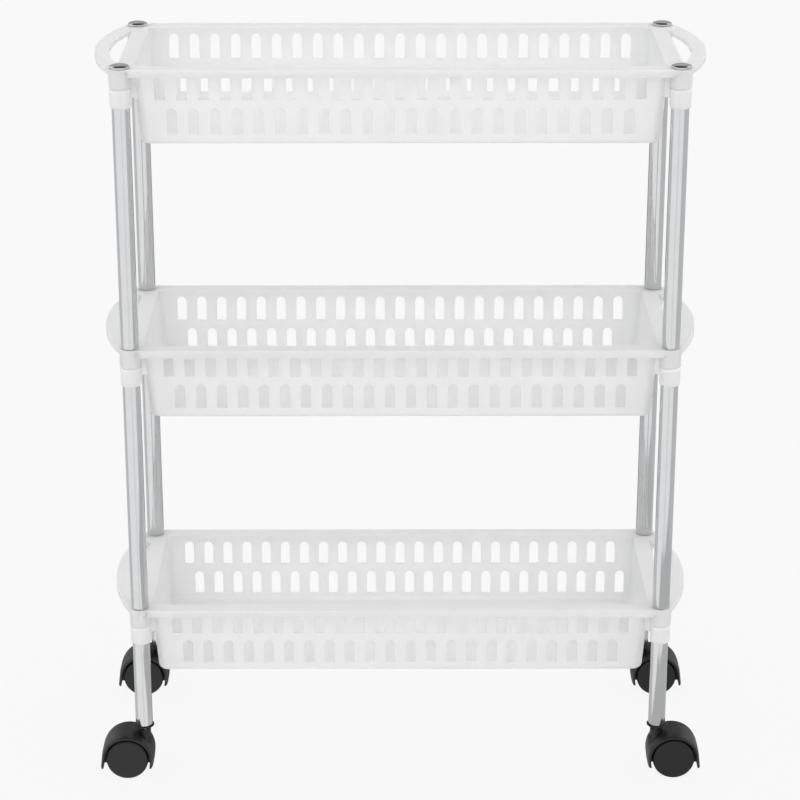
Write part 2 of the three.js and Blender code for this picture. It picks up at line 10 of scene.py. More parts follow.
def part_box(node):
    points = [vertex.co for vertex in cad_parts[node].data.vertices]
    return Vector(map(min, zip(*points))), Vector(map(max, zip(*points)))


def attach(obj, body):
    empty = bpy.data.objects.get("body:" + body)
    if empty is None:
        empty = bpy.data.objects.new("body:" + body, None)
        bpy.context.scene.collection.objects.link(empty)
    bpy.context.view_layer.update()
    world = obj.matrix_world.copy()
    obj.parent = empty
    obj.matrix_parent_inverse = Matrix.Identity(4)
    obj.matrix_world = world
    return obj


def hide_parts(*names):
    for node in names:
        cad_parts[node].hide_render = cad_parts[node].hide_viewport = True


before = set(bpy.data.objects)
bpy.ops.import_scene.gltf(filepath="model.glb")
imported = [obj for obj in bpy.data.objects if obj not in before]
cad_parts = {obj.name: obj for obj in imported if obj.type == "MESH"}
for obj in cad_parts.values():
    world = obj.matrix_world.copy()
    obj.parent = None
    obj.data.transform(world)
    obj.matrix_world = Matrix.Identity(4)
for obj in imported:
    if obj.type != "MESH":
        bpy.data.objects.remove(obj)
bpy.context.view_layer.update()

MM = 0.001
ON_AXIS = 1e-6
SAME_POINT = 1e-6
SAME_POINT_AFTER_CUTS = 2e-6
NO_LENGTH = 1e-7
FLAT_ENOUGH = math.radians(0.4)

# ---- places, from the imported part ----
TIERS = ("lower", "middle", "upper")
CORNERS = ("front_left", "front_right", "back_left", "back_right")


def middle_of(node):
    low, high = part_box(node)
    return (low + high) / 2


POSTS = {corner: middle_of(f"leg_tube_{corner}").xy for corner in CORNERS}
POST_X = POSTS["back_right"].x
POST_Y = POSTS["back_right"].y
RIM_Z = {tier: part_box(f"basket_{tier}")[1].z for tier in TIERS}
TUBE_RADIUS = (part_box("leg_tube_front_left")[1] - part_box("leg_tube_front_left")[0]).x / 2
WHEEL_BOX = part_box("wheel_front_right_front")
WHEEL_RADIUS = WHEEL_BOX[1].z / 2
AXLE_X = (WHEEL_BOX[0].x + WHEEL_BOX[1].x) / 2 - POST_X
WHEEL_OUTER = POSTS["front_right"].y - WHEEL_BOX[0].y
WHEEL_INNER = POSTS["front_right"].y - WHEEL_BOX[1].y
HOOD_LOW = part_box("caster_hood_front_right")[0].z
NECK_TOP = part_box("caster_hood_front_right")[1].z

# ---- sizes, as in the part ----
GAP = 0.3 * MM
WALL = 2 * MM
TUBE_WALL = 1.2 * MM
SPIGOT_RADIUS = TUBE_RADIUS - TUBE_WALL - GAP
SPIGOT_WALL = 2.5 * MM
SPIGOT_BORE = SPIGOT_RADIUS - SPIGOT_WALL
SOCKET_WALL = 2.9 * MM
SOCKET_PROUD = 0.6 * MM
SOCKET_BORE = SPIGOT_RADIUS + GAP
SOCKET_RADIUS = SOCKET_BORE + SOCKET_WALL
SOCKET_DEPTH = 17 * MM
COLLAR_BORE = TUBE_RADIUS + GAP
COLLAR_WALL = 1.1 * MM
COLLAR_RADIUS = COLLAR_BORE + COLLAR_WALL
COLLAR_WEB = 3 * MM
COLLAR_CHAMFER = 2.2 * MM
COLLAR_SHOULDER = 2 * MM
CAP_EDGE = 1.8 * MM
CAP_SHOULDER = 0.7 * MM
RIB_BELOW_SOCKET = 11 * MM
RIB_DEPTH = SOCKET_DEPTH + RIB_BELOW_SOCKET
TUB_DEPTH = 70 * MM
TUB_HALF_X = POST_X - 9.5 * MM
TUB_HALF_Y = POST_Y - 3.5 * MM
TUB_END_DRAFT = 5 * MM
TUB_SIDE_DRAFT = 5 * MM
TUB_CORNER = 10 * MM
TUB_FOOT = 4 * MM
RIM_BEYOND_POST = SOCKET_RADIUS - SOCKET_PROUD
RIM_SKIRT = 7 * MM
EAR_SKIRT = 5 * MM
EAR_BAND = 12.5 * MM
EAR_BEYOND_POST = SOCKET_RADIUS + 19.7 * MM
EAR_HOLE_FROM_POST = 3 * MM
EAR_HOLE_TO_POST = 20.5 * MM
SLOT_HALF = 4.5 * MM
SLOT_HEIGHT = 23 * MM
SLOT_PITCH = 19 * MM
SLOT_ROW_TOPS = (6.5 * MM, 37.5 * MM)
SLOT_END_MARGIN = 18 * MM

EAR_RADIUS = (SOCKET_RADIUS ** 2 - EAR_BEYOND_POST ** 2 - POST_Y ** 2) / (
    2 * (SOCKET_RADIUS - EAR_BEYOND_POST))
EAR_CENTRE_X = POST_X + EAR_BEYOND_POST - EAR_RADIUS
EAR_ANGLE = math.atan2(POST_Y, POST_X - EAR_CENTRE_X)


# ---- building with bmesh ----
def to_object(name, bm):
    mesh = bpy.data.meshes.new(name)
    bm.to_mesh(mesh)
    bm.free()
    thing = bpy.data.objects.new(name, mesh)
    bpy.context.scene.collection.objects.link(thing)
    return thing


def verts_of(geometry):
    return [item for item in geometry if isinstance(item, bmesh.types.BMVert)]


def move(bm, x, y, z=0.0):
    bmesh.ops.translate(bm, verts=bm.verts, vec=(x, y, z))
    return bm


def rotate(bm, angle, axis):
    bmesh.ops.rotate(
        bm, verts=bm.verts, cent=(0, 0, 0), matrix=Matrix.Rotation(angle, 3, axis))
    return bm


def trace(bm, start, path):
    """Runs a chain of edges from a point: a path item is a point to go straight to, or a
    centre, an angle and a number of steps to turn by. Closes the chain and fills it."""
    first = bm.verts.new(start)
    last = first
    for item in path:
        if len(item) == 2:
            made = bm.verts.new((item[0], item[1], start[2]))
            bm.edges.new((last, made))
            last = made
        else:
            centre, angle, steps = item
            turned = bmesh.ops.spin(
                bm, geom=[last], cent=(centre[0], centre[1], start[2]), axis=(0, 0, 1),
                angle=angle, steps=steps)
            last = verts_of(turned["geom_last"])[0]
    bm.edges.new((last, first))
    bmesh.ops.remove_doubles(bm, verts=bm.verts, dist=SAME_POINT)
    return bmesh.ops.contextual_create(bm, geom=bm.edges[:])["faces"]


def raise_faces(bm, faces, height, on_solid=False):
    """Extrudes faces by a height. On a solid the faces it starts from would be left inside."""
    raised = bmesh.ops.extrude_face_region(bm, geom=faces)["geom"]
    bmesh.ops.translate(bm, verts=verts_of(raised), vec=(0, 0, height))
    if on_solid:
        bmesh.ops.delete(bm, geom=faces, context="FACES_ONLY")
    return [item for item in raised if isinstance(item, bmesh.types.BMFace)]


def plate(start, path, low, high):
    """A flat outline made into a plate between two heights."""
    bm = bmesh.new()
    faces = trace(bm, (start[0], start[1], low), path)
    raise_faces(bm, faces, high - low)
    bmesh.ops.recalc_face_normals(bm, faces=bm.faces)
    return bm


def turned(profile, steps=48):
    """A solid of revolution about Z from a closed chain of (radius, height) points."""
    bm = bmesh.new()
    chain = [bm.verts.new((radius, 0, height)) for radius, height in profile]
    edges = [bm.edges.new(pair) for pair in zip(chain, chain[1:])]
    if all(radius > ON_AXIS for radius, _ in profile):
        edges.append(bm.edges.new((chain[-1], chain[0])))
    bmesh.ops.spin(
        bm, geom=chain + edges, cent=(0, 0, 0), axis=(0, 0, 1), angle=2 * math.pi,
        steps=steps, use_merge=True)
    bmesh.ops.remove_doubles(bm, verts=bm.verts, dist=SAME_POINT)
    bmesh.ops.dissolve_degenerate(bm, edges=bm.edges, dist=NO_LENGTH)
    bmesh.ops.recalc_face_normals(bm, faces=bm.faces)
    return bm


def rounded(profile, radius, steps=3):
    """The same closed chain with each corner off the axis turned into a small arc."""
    count = len(profile)
    points = []
    for index, (r, z) in enumerate(profile):
        if r < ON_AXIS:
            points.append((r, z))
            continue
        here = Vector((r, z))
        before = Vector(profile[index - 1]) - here
        after = Vector(profile[(index + 1) % count]) - here
        reach = min(radius, before.length * 0.45, after.length * 0.45)
        start = here + before.normalized() * reach
        end = here + after.normalized() * reach
        for step in range(steps + 1):
            t = step / steps
            spot = start * (1 - t) ** 2 + here * 2 * t * (1 - t) + end * t ** 2
            points.append((spot.x, spot.y))
    return points


def combine(base, tool, operation):
    """Adds or cuts one solid, and removes it."""
    change = base.modifiers.new(operation, "BOOLEAN")
    change.operation = operation
    change.object = tool
    change.solver = "MANIFOLD"
    bpy.context.view_layer.update()
    result = bpy.data.meshes.new_from_object(
        base.evaluated_get(bpy.context.evaluated_depsgraph_get()))
    base.modifiers.clear()
    base.data = result
    bpy.data.objects.remove(tool)


def shade(thing, angle=32):
    thing.data.shade_smooth()
    thing.data.set_sharp_from_angle(angle=math.radians(angle))


def soften(thing, width, segments=2, angle=35):
    """Rounds every sharp edge of a moulded or cut piece."""
    bevel = thing.modifiers.new("edges", "BEVEL")
    bevel.width = width
    bevel.segments = segments
    bevel.limit_method = "ANGLE"
    bevel.angle_limit = math.radians(angle)


def place(thing, body, material, node):
    thing.data.materials.clear()
    thing.data.materials.append(material)
    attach(thing, body)
    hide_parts(node)


# ---- materials ----
def srgb(code):
    """An sRGB hex colour as linear values."""
    channels = [int(code[i:i + 2], 16) / 255 for i in (1, 3, 5)]
    linear = [c / 12.92 if c <= 0.04045 else ((c + 0.055) / 1.055) ** 2.4 for c in channels]
    return (*linear, 1)


def fit(tree, node, sockets):
    """Gives each socket a value, or links it to another node's output."""
    for name, value in sockets.items():
        if isinstance(value, bpy.types.NodeSocket):
            tree.links.new(value, node.inputs[name])
        else:
            node.inputs[name].default_value = value


def add(tree, kind, settings=None, sockets=None):
    """Adds a node with its settings and links."""
    node = tree.nodes.new(kind)
    for name, value in (settings or {}).items():
        setattr(node, name, value)
    fit(tree, node, sockets or {})
    return node


def new_material(name):
    material = bpy.data.materials.new(name)
    material.use_nodes = True
    tree = material.node_tree
    tree.nodes.clear()
    surface = add(tree, "ShaderNodeBsdfPrincipled")
    add(tree, "ShaderNodeOutputMaterial", None, {"Surface": surface.outputs["BSDF"]})
    return material, tree, surface


def make_frosted_polypropylene():
    # Natural polypropylene, injection moulded in a spark-eroded mould: milky, a little see-through
    # where it is thin, with a soft sheen that hides sharp reflections.
    material, tree, surface = new_material("frosted_polypropylene")
    spot = add(tree, "ShaderNodeTexCoord").outputs["Object"]
    cloud = add(tree, "ShaderNodeTexNoise", None, {"Vector": spot, "Scale": 1 / (45 * MM)})
    colour = add(tree, "ShaderNodeMix", {"data_type": "RGBA"},
                 {0: cloud.outputs["Fac"], 6: srgb("#FAFBFB"), 7: srgb("#FEFEFE")})
    patch = add(tree, "ShaderNodeTexNoise", None, {"Vector": spot, "Scale": 1 / (12 * MM)})
    sheen = add(tree, "ShaderNodeMapRange", None,
                {"Value": patch.outputs["Fac"], "To Min": 0.34, "To Max": 0.44})
    grain = add(tree, "ShaderNodeTexNoise", None,
                {"Vector": spot, "Scale": 1 / (0.9 * MM), "Detail": 3.0})
    texture = add(tree, "ShaderNodeBump", None,
                  {"Height": grain.outputs["Fac"], "Distance": 0.01 * MM, "Strength": 0.5})
    fit(tree, surface, {
        "Base Color": colour.outputs[2],
        "Roughness": sheen.outputs["Result"],
        "IOR": 1.49,
        "Subsurface Weight": 1.0,
        "Subsurface Radius": (1, 1, 1),
        "Subsurface Scale": 6 * MM,
        "Transmission Weight": 0.25,
        "Normal": texture.outputs["Normal"],
    })
    return material


def make_clear_polypropylene():
    # The same plastic in a polished mould: smoother than the baskets, a shade greyer and with
    # less light passing through it, so it reads as a separate sleeve under each corner.
    material, tree, surface = new_material("clear_polypropylene")
    spot = add(tree, "ShaderNodeTexCoord").outputs["Object"]
    cloud = add(tree, "ShaderNodeTexNoise", None, {"Vector": spot, "Scale": 1 / (20 * MM)})
    colour = add(tree, "ShaderNodeMix", {"data_type": "RGBA"},
                 {0: cloud.outputs["Fac"], 6: srgb("#FBFBFB"), 7: srgb("#FEFEFE")})
    patch = add(tree, "ShaderNodeTexNoise", None, {"Vector": spot, "Scale": 1 / (8 * MM)})
    sheen = add(tree, "ShaderNodeMapRange", None,
                {"Value": patch.outputs["Fac"], "To Min": 0.2, "To Max": 0.28})
    fit(tree, surface, {
        "Base Color": colour.outputs[2],
        "Roughness": sheen.outputs["Result"],
        "IOR": 1.49,
        "Subsurface Weight": 0.7,
        "Subsurface Radius": (1, 1, 1),
        "Subsurface Scale": 3.4 * MM,
        "Transmission Weight": 0.1,
    })
    return material


def make_chrome_plate(name, light, dark, low, high):
    # Chrome on drawn steel: the drawing leaves faint lines along the tube, so its reflections
    # spread sideways in soft upright streaks. On the smoother caps they hardly show.
    material, tree, surface = new_material(name)
    spot = add(tree, "ShaderNodeTexCoord").outputs["Object"]
    along = add(tree, "ShaderNodeMapping", None, {"Vector": spot, "Scale": (1, 1, 0.02)})
    streak = add(tree, "ShaderNodeTexNoise", None,
                 {"Vector": along.outputs["Vector"], "Scale": 1 / (1.6 * MM), "Detail": 3.0})
    haze = add(tree, "ShaderNodeTexNoise", None, {"Vector": spot, "Scale": 1 / (14 * MM)})
    colour = add(tree, "ShaderNodeMix", {"data_type": "RGBA"},
                 {0: haze.outputs["Fac"], 6: srgb(light), 7: srgb(dark)})
    polish = add(tree, "ShaderNodeMapRange", None,
                 {"Value": streak.outputs["Fac"], "To Min": low, "To Max": high})
    texture = add(tree, "ShaderNodeBump", None,
                  {"Height": streak.outputs["Fac"], "Distance": 0.004 * MM, "Strength": 0.3})
    fit(tree, surface, {
        "Base Color": colour.outputs[2],
        "Metallic": 1.0,
        "Roughness": polish.outputs["Result"],
        "Normal": texture.outputs["Normal"],
    })
    return material


def make_black_nylon(name, light, dark, low, high):
    # Black nylon, moulded with a fine matt grain that catches the light as a soft grey.
    material, tree, surface = new_material(name)
    spot = add(tree, "ShaderNodeTexCoord").outputs["Object"]
    cloud = add(tree, "ShaderNodeTexNoise", None, {"Vector": spot, "Scale": 1 / (9 * MM)})
    colour = add(tree, "ShaderNodeMix", {"data_type": "RGBA"},
                 {0: cloud.outputs["Fac"], 6: srgb(light), 7: srgb(dark)})
    patch = add(tree, "ShaderNodeTexNoise", None, {"Vector": spot, "Scale": 1 / (4 * MM)})
    sheen = add(tree, "ShaderNodeMapRange", None,
                {"Value": patch.outputs["Fac"], "To Min": low, "To Max": high})
    grain = add(tree, "ShaderNodeTexNoise", None,
                {"Vector": spot, "Scale": 1 / (0.7 * MM), "Detail": 3.0})
    texture = add(tree, "ShaderNodeBump", None,
                  {"Height": grain.outputs["Fac"], "Distance": 0.04 * MM, "Strength": 0.6})
    fit(tree, surface, {
        "Base Color": colour.outputs[2],
        "Roughness": sheen.outputs["Result"],
        "IOR": 1.53,
        "Specular IOR Level": 0.32,
        "Normal": texture.outputs["Normal"],
    })
    return material


def make_zinc_plate():
    # Zinc plated steel: grey and a little cloudy, duller than the chrome.
    material, tree, surface = new_material("zinc_plate")
    spot = add(tree, "ShaderNodeTexCoord").outputs["Object"]
    cloud = add(tree, "ShaderNodeTexNoise", None, {"Vector": spot, "Scale": 1 / (3 * MM)})
    colour = add(tree, "ShaderNodeMix", {"data_type": "RGBA"},
                 {0: cloud.outputs["Fac"], 6: srgb("#A2A5A8"), 7: srgb("#B8BABC")})
    patch = add(tree, "ShaderNodeTexNoise", None, {"Vector": spot, "Scale": 1 / (1.5 * MM)})
    polish = add(tree, "ShaderNodeMapRange", None,
                 {"Value": patch.outputs["Fac"], "To Min": 0.28, "To Max": 0.4})
    fit(tree, surface, {
        "Base Color": colour.outputs[2],
        "Metallic": 1.0,
        "Roughness": polish.outputs["Result"],
    })
    return material


FROSTED = make_frosted_polypropylene()
CLEAR = make_clear_polypropylene()
TUBE_CHROME = make_chrome_plate("chrome_plated_tube", "#CDCECF", "#C6C7C8", 0.1, 0.16)
CAP_CHROME = make_chrome_plate("chrome_plated_cap", "#CACBCC", "#C4C5C6", 0.05, 0.08)
HOOD_NYLON = make_black_nylon("black_nylon_hood", "#191919", "#1E1E1E", 0.38, 0.46)
WHEEL_NYLON = make_black_nylon("black_nylon_wheel", "#151515", "#1B1B1B", 0.45, 0.55)
ZINC = make_zinc_plate()


# ---- baskets, built round the middle of the rim's top face ----
def rim_path(inset):
    """Start point and path of the rim's outer edge."""
    ear = EAR_RADIUS - inset
    reach = Vector((EAR_CENTRE_X, 0)) + ear * Vector((math.cos(-EAR_ANGLE), math.sin(-EAR_ANGLE)))
    meet = math.asin((RIM_BEYOND_POST - inset) / (SOCKET_RADIUS - inset))
    sweep = math.pi - meet - EAR_ANGLE
    edge = POST_Y + RIM_BEYOND_POST - inset
    straight = POST_X - (SOCKET_RADIUS - inset) * math.cos(meet)
    return tuple(reach), [
        ((EAR_CENTRE_X, 0), 2 * EAR_ANGLE, 40),
        ((POST_X, POST_Y), sweep, 14),
        (-straight, edge),
        ((-POST_X, POST_Y), sweep, 14),
        ((-EAR_CENTRE_X, 0), 2 * EAR_ANGLE, 40),
        ((-POST_X, -POST_Y), sweep, 14),
        (straight, -edge),
        ((POST_X, -POST_Y), sweep, 14),
    ]


def ear_hole_path(grow):
    radius = EAR_RADIUS - EAR_BAND + grow
    straight = POST_X + EAR_HOLE_FROM_POST - grow
    end = POST_Y - EAR_HOLE_TO_POST + grow
    angle = math.asin(end / radius)
    start = (EAR_CENTRE_X + radius * math.cos(angle), -end)
    return start, [((EAR_CENTRE_X, 0), 2 * angle, 32), (straight, end), (straight, -end)]


def tub_form(inset, top):
    """The tub's shape with its walls and floor set in by one thickness."""
    low = inset - TUB_DEPTH
    lean = -low / TUB_DEPTH
    foot_x = TUB_HALF_X - inset - lean * TUB_END_DRAFT
    foot_y = TUB_HALF_Y - inset - lean * TUB_SIDE_DRAFT
    rise = top - low
    bm = bmesh.new()
    bmesh.ops.create_grid(bm, x_segments=1, y_segments=1, size=1)
    bmesh.ops.scale(bm, verts=bm.verts, vec=(foot_x, foot_y, 1))
    move(bm, 0, 0, low)
    bmesh.ops.bevel(bm, geom=bm.verts[:], offset=TUB_CORNER - inset, affect="VERTICES",
                    segments=8, profile=0.5, material=-1)
    base = bm.faces[:]
    raised = raise_faces(bm, base, rise)
    bmesh.ops.scale(
        bm, verts=raised[0].verts[:],
        vec=(1 + rise / TUB_DEPTH * TUB_END_DRAFT / foot_x,
             1 + rise / TUB_DEPTH * TUB_SIDE_DRAFT / foot_y, 1))
    bmesh.ops.recalc_face_normals(bm, faces=bm.faces)
    foot = [edge for edge in bm.edges if all(v.co.z < low + SAME_POINT for v in edge.verts)]
    bmesh.ops.bevel(bm, geom=foot, offset=TUB_FOOT - inset / 2, affect="EDGES", segments=5,
                    profile=0.5, material=-1)
    return bm


def slot_centres(row):
    reach = TUB_HALF_X - SLOT_END_MARGIN
    shift = 0 if row % 2 == 0 else 0.5
    last = math.floor(reach / SLOT_PITCH + shift) - shift
    count = int(2 * last) + 1
    return [(step - last) * SLOT_PITCH for step in range(count)]


def slot_cutters(side, has_end_slot):
    """One mesh with all the slots of one long wall; side is 1 at the back and -1 in front."""
    near = TUB_HALF_Y - TUB_SIDE_DRAFT - 2 * WALL
    far = POST_Y + RIM_BEYOND_POST - WALL - GAP
    bm = plate((SLOT_HALF, -SLOT_HEIGHT), [
        (SLOT_HALF, -SLOT_HALF),
        ((0, -SLOT_HALF), math.pi, 12),
        (-SLOT_HALF, -SLOT_HEIGHT),
    ], near, far)
    rotate(bm, math.pi / 2, "X")
    if side > 0:
        move(bm, 0, near + far)
    pattern = bm.verts[:] + bm.edges[:] + bm.faces[:]
    for row, top in enumerate(SLOT_ROW_TOPS):
        centres = slot_centres(row)
        if has_end_slot and row == 1:
            centres.append(centres[-1] + SLOT_PITCH)
        for x in centres:
            copy = bmesh.ops.duplicate(bm, geom=pattern)["geom"]
            bmesh.ops.translate(bm, verts=verts_of(copy), vec=(x, 0, -top))
    bmesh.ops.delete(bm, geom=pattern, context="VERTS")
    bmesh.ops.recalc_face_normals(bm, faces=bm.faces)
    return bm


def rod(radius, low, high, x=0, y=0, steps=48):
    bm = bmesh.new()
    bmesh.ops.create_cone(bm, cap_ends=True, segments=steps, radius1=radius, radius2=radius,
                          depth=high - low)
    return move(bm, x, y, (low + high) / 2)


def bar(size_x, size_y, low, high, y=0):
    bm = bmesh.new()
    bmesh.ops.create_cube(bm, size=1)
    bmesh.ops.scale(bm, verts=bm.verts, vec=(size_x, size_y, high - low))
    return move(bm, 0, y, (low + high) / 2)


def corner_rib(sign_x, sign_y, depth, end_from_post):
    """Upright gusset from the tub's rounded corner towards the post."""
    corner_x = TUB_HALF_X - TUB_CORNER
    corner_y = TUB_HALF_Y - TUB_CORNER
    run = Vector((POST_X - corner_x, POST_Y - corner_y))
    start = TUB_CORNER - WALL / 2 - TUB_END_DRAFT * depth / TUB_DEPTH
    length = run.length - end_from_post - start
    bm = bar(length, WALL, -depth, -GAP)
    move(bm, start + length / 2, 0)
    rotate(bm, math.atan2(run.y * sign_y, run.x * sign_x), "Z")
    return move(bm, sign_x * corner_x, sign_y * corner_y)


def mirrored(bm):
    """The same shape on the other end of the cart."""
    bmesh.ops.scale(bm, verts=bm.verts, vec=(-1, 1, 1))
    bmesh.ops.recalc_face_normals(bm, faces=bm.faces)
    return bm


def make_basket(tier):
    add_solids = [tub_form(0, 0)]
    cut_solids = [tub_form(WALL, GAP)]
    for end in (1, -1):
        lip = plate(*ear_hole_path(WALL), -EAR_SKIRT, 0)
        hole = plate(*ear_hole_path(0), -2 * EAR_SKIRT, EAR_SKIRT)
        add_solids.append(lip if end > 0 else mirrored(lip))
        cut_solids.append(hole if end > 0 else mirrored(hole))
    for side in (1, -1):
        edge_y = side * (POST_Y + RIM_BEYOND_POST - WALL / 2)
        add_solids.append(bar(2 * (POST_X - SOCKET_BORE), WALL, -RIM_SKIRT, 0, edge_y))
        for end in (1, -1):
            x, y = end * POST_X, side * POST_Y
            add_solids.append(rod(SOCKET_RADIUS, -SOCKET_DEPTH, 0, x, y))
            add_solids.append(corner_rib(end, side, SOCKET_DEPTH, SOCKET_BORE))
            add_solids.append(corner_rib(end, side, RIB_DEPTH, COLLAR_RADIUS + 2 * GAP))
            cut_solids.append(rod(SOCKET_BORE, -2 * SOCKET_DEPTH, SOCKET_DEPTH, x, y))
    basket = to_object(f"basket_{tier}_shell", plate(*rim_path(0), -EAR_SKIRT, 0))
    under_rim = plate(*rim_path(WALL), -2 * EAR_SKIRT, -WALL)
    combine(basket, to_object("cut", under_rim), "DIFFERENCE")
    for solid in add_solids:
        combine(basket, to_object("more", solid), "UNION")
    for solid in cut_solids:
        combine(basket, to_object("cut", solid), "DIFFERENCE")
    for side in (1, -1):
        has_end_slot = tier == "lower" and side > 0
        combine(basket, to_object("cut", slot_cutters(side, has_end_slot)), "DIFFERENCE")
    bm = bmesh.new()
    bm.from_mesh(basket.data)
    bmesh.ops.remove_doubles(bm, verts=bm.verts, dist=SAME_POINT_AFTER_CUTS)
    bmesh.ops.dissolve_limit(bm, angle_limit=FLAT_ENOUGH, verts=bm.verts, edges=bm.edges)
    move(bm, 0, 0, RIM_Z[tier])
    bm.to_mesh(basket.data)
    bm.free()
    shade(basket)
    soften(basket, 0.4 * MM)
    place(basket, "cart_frame", FROSTED, f"basket_{tier}")


for tier in TIERS:
    make_basket(tier)


# ---- posts ----
def make_tube(name, corner):
    low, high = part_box(name)
    bore = TUBE_RADIUS - TUBE_WALL
    profile = rounded([
        (bore, low.z), (TUBE_RADIUS, low.z), (TUBE_RADIUS, high.z), (bore, high.z)], 0.5 * MM)
    bm = move(turned(profile, 64), *POSTS[corner])
    tube = to_object(f"{name}_chromed", bm)
    shade(tube)
    place(tube, "cart_frame", TUBE_CHROME, name)


def make_collar(tier, corner):
    name = f"collar_{tier}_{corner}"
    low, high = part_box(name)
    rim = RIM_Z[tier]
    top = rim - SOCKET_DEPTH - GAP
    web = top - COLLAR_WEB
    foot_lip = 0.6 * MM
    edge_radius = 0.7 * MM
    profile = rounded([
        (COLLAR_BORE, low.z),
        (COLLAR_RADIUS - foot_lip, low.z),
        (COLLAR_RADIUS, low.z + COLLAR_CHAMFER),
        (COLLAR_RADIUS, top - COLLAR_SHOULDER),
        (COLLAR_RADIUS - 0.55 * COLLAR_SHOULDER, top - 0.35 * COLLAR_SHOULDER),
        (COLLAR_RADIUS - COLLAR_SHOULDER, top),
        (SPIGOT_RADIUS, top),
        (SPIGOT_RADIUS, high.z),
        (SPIGOT_BORE, high.z),
        (SPIGOT_BORE, web),
        (COLLAR_BORE, web),
    ], edge_radius, 4)
    bm = move(turned(profile, 56), *POSTS[corner])
    collar = to_object(f"{name}_sleeve", bm)
    shade(collar)
    place(collar, "cart_frame", CLEAR, name)


def make_cap(corner):
    name = f"post_cap_{corner}"
    low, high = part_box(name)
    plug = SPIGOT_BORE - GAP
    seat = RIM_Z["upper"] + GAP
    radius = (high - low).x / 2
    dome = high.z - seat
    shoulder_foot = seat + CAP_EDGE - CAP_SHOULDER
    chamfer = 0.3 * MM
    profile = [(0, low.z), (plug, low.z), (plug, seat), (radius - chamfer, seat),
               (radius, seat + chamfer), (radius, shoulder_foot)]
    steps = 5
    shoulder_turn = math.pi / 2 * 0.8
    for step in range(1, steps + 1):
        angle = step / steps * shoulder_turn
        profile.append((radius - CAP_SHOULDER * (1 - math.cos(angle)),
                        shoulder_foot + CAP_SHOULDER * math.sin(angle)))
    side_r, side_z = profile[-1]
    steps = 10
    for step in range(1, steps + 1):
        spread = 1 - step / steps
        rise = (seat + dome - side_z) * (1 - spread ** 4)
        profile.append((side_r * spread, side_z + rise))
    bm = move(turned(profile, 56), *POSTS[corner])
    cap = to_object(f"{name}_dome", bm)
    shade(cap, 40)
    place(cap, "cart_frame", CAP_CHROME, name)


STEM_RADIUS = 3.8 * MM
STEM_HOLE_RADIUS = STEM_RADIUS + GAP
STEM_IN_NECK = 12 * MM


def make_plug(corner):
    name = f"caster_plug_{corner}"
    low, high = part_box(name)
    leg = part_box(f"leg_tube_{corner}")[0].z
    radius = (high - low).x / 2
    seat = leg - GAP
    profile = rounded([
        (STEM_HOLE_RADIUS, low.z), (radius, low.z), (radius, seat), (SPIGOT_RADIUS, seat),
        (SPIGOT_RADIUS, high.z), (STEM_HOLE_RADIUS, high.z)], 0.35 * MM)
    bm = move(turned(profile, 48), *POSTS[corner])
    plug = to_object(f"{name}_moulded", bm)
    shade(plug)
    place(plug, "cart_frame", HOOD_NYLON, name)


def make_stem(corner):
    name = f"caster_stem_{corner}"
    low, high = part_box(name)
    flange = (high - low).x / 2
    flange_low = NECK_TOP + GAP
    flange_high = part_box(f"caster_plug_{corner}")[0].z - GAP
    profile = rounded([
        (0, low.z), (STEM_RADIUS, low.z), (STEM_RADIUS, flange_low), (flange, flange_low),
        (flange, flange_high), (STEM_RADIUS, flange_high), (STEM_RADIUS, high.z),
        (0, high.z)], 0.4 * MM)
    bm = move(turned(profile, 40), *POSTS[corner])
    stem = to_object(f"{name}_turned", bm)
    shade(stem)
    place(stem, "cart_frame", ZINC, name)


# ---- casters, built round the axle's middle with the stem towards -X ----
HOOD_GAP = 1.8 * MM
HOOD_WALL = 3.1 * MM
HOOD_CROWN = 1.9 * MM
HOOD_CROWN_WIDTH = 12 * MM
HOOD_TILT = math.radians(7)
HOOD_INNER = WHEEL_RADIUS + HOOD_GAP
HOOD_OUTER = HOOD_INNER + HOOD_WALL
WEB_HALF = STEM_HOLE_RADIUS + 1.4 * MM
AXLE_BORE = 2.8 * MM
NECK_RADIUS = STEM_HOLE_RADIUS + 1.9 * MM
NECK_FOOT_RADIUS = STEM_HOLE_RADIUS + 4.1 * MM
NECK_STRAIGHT = 6.5 * MM
NECK_FLARE = 5.5 * MM
NECK_EDGE = 0.4 * MM


def stand_up(bm):
    """Stands a shape drawn flat upright, its heights turned to run towards -Y."""
    return rotate(bm, math.pi / 2, "X")


def arch_path(radius, drop, steps):
    return (radius, -drop), [(radius, 0), ((0, 0), math.pi, steps), (-radius, -drop)]


def hood_shell():
    """The hood's outside: an arch that narrows towards both faces in a soft crown."""
    start, path = arch_path(HOOD_OUTER, WHEEL_RADIUS, 48)
    flat = WHEEL_OUTER - HOOD_CROWN_WIDTH
    bm = bmesh.new()
    faces = trace(bm, (*start, -flat), path)
    both = [raise_faces(bm, faces, 2 * flat), faces]
    steps = 7
    for faces_now, way in zip(both, (1, -1)):
        before_y, before_r = 0.0, 1.0
        for step in range(1, steps + 1):
            angle = step / steps * math.pi / 2
            y = HOOD_CROWN_WIDTH * math.sin(angle)
            r = 1 - HOOD_CROWN / HOOD_OUTER * (1 - math.cos(angle))
            faces_now = raise_faces(bm, faces_now, way * (y - before_y), on_solid=True)
            edge_verts = list({v for face in faces_now for v in face.verts})
            bmesh.ops.scale(bm, verts=edge_verts, vec=(r / before_r, r / before_r, 1))
            before_y, before_r = y, r
    bmesh.ops.recalc_face_normals(bm, faces=bm.faces)
    return rotate(stand_up(bm), -HOOD_TILT, "Y")


